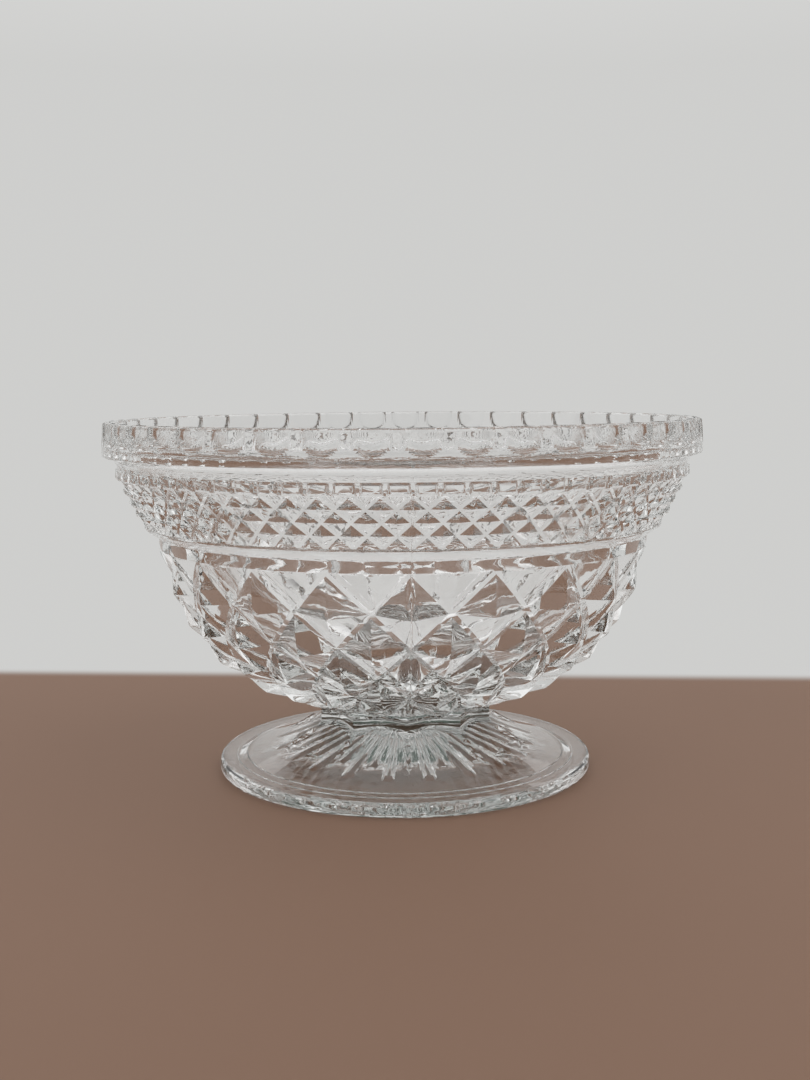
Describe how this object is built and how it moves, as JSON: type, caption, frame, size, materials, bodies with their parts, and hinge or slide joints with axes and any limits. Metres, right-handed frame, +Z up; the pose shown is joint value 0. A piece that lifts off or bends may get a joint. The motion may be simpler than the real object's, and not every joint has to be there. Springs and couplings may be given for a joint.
{
  "type": "footed compote bowl",
  "caption": "Footed compote bowl in clear pressed glass: round bowl with diamond-point sides and a thumbprint rim, on a scalloped collar and a wide rayed foot, for serving fruit or sweets.",
  "frame": {"origin": "on the bowl's axis, at the level of the table that the foot rests on", "axes": "+Z up along the bowl's axis, -Y towards the front, where the mould seam runs"},
  "size_m": [0.1998, 0.1999, 0.1188],
  "materials": {
    "clear_glass": "clear, fire-polished"
  },
  "bodies": {
    "root": {"foot": "clear_glass", "collar": "clear_glass", "bowl": "clear_glass"}
  },
  "joints": []
}
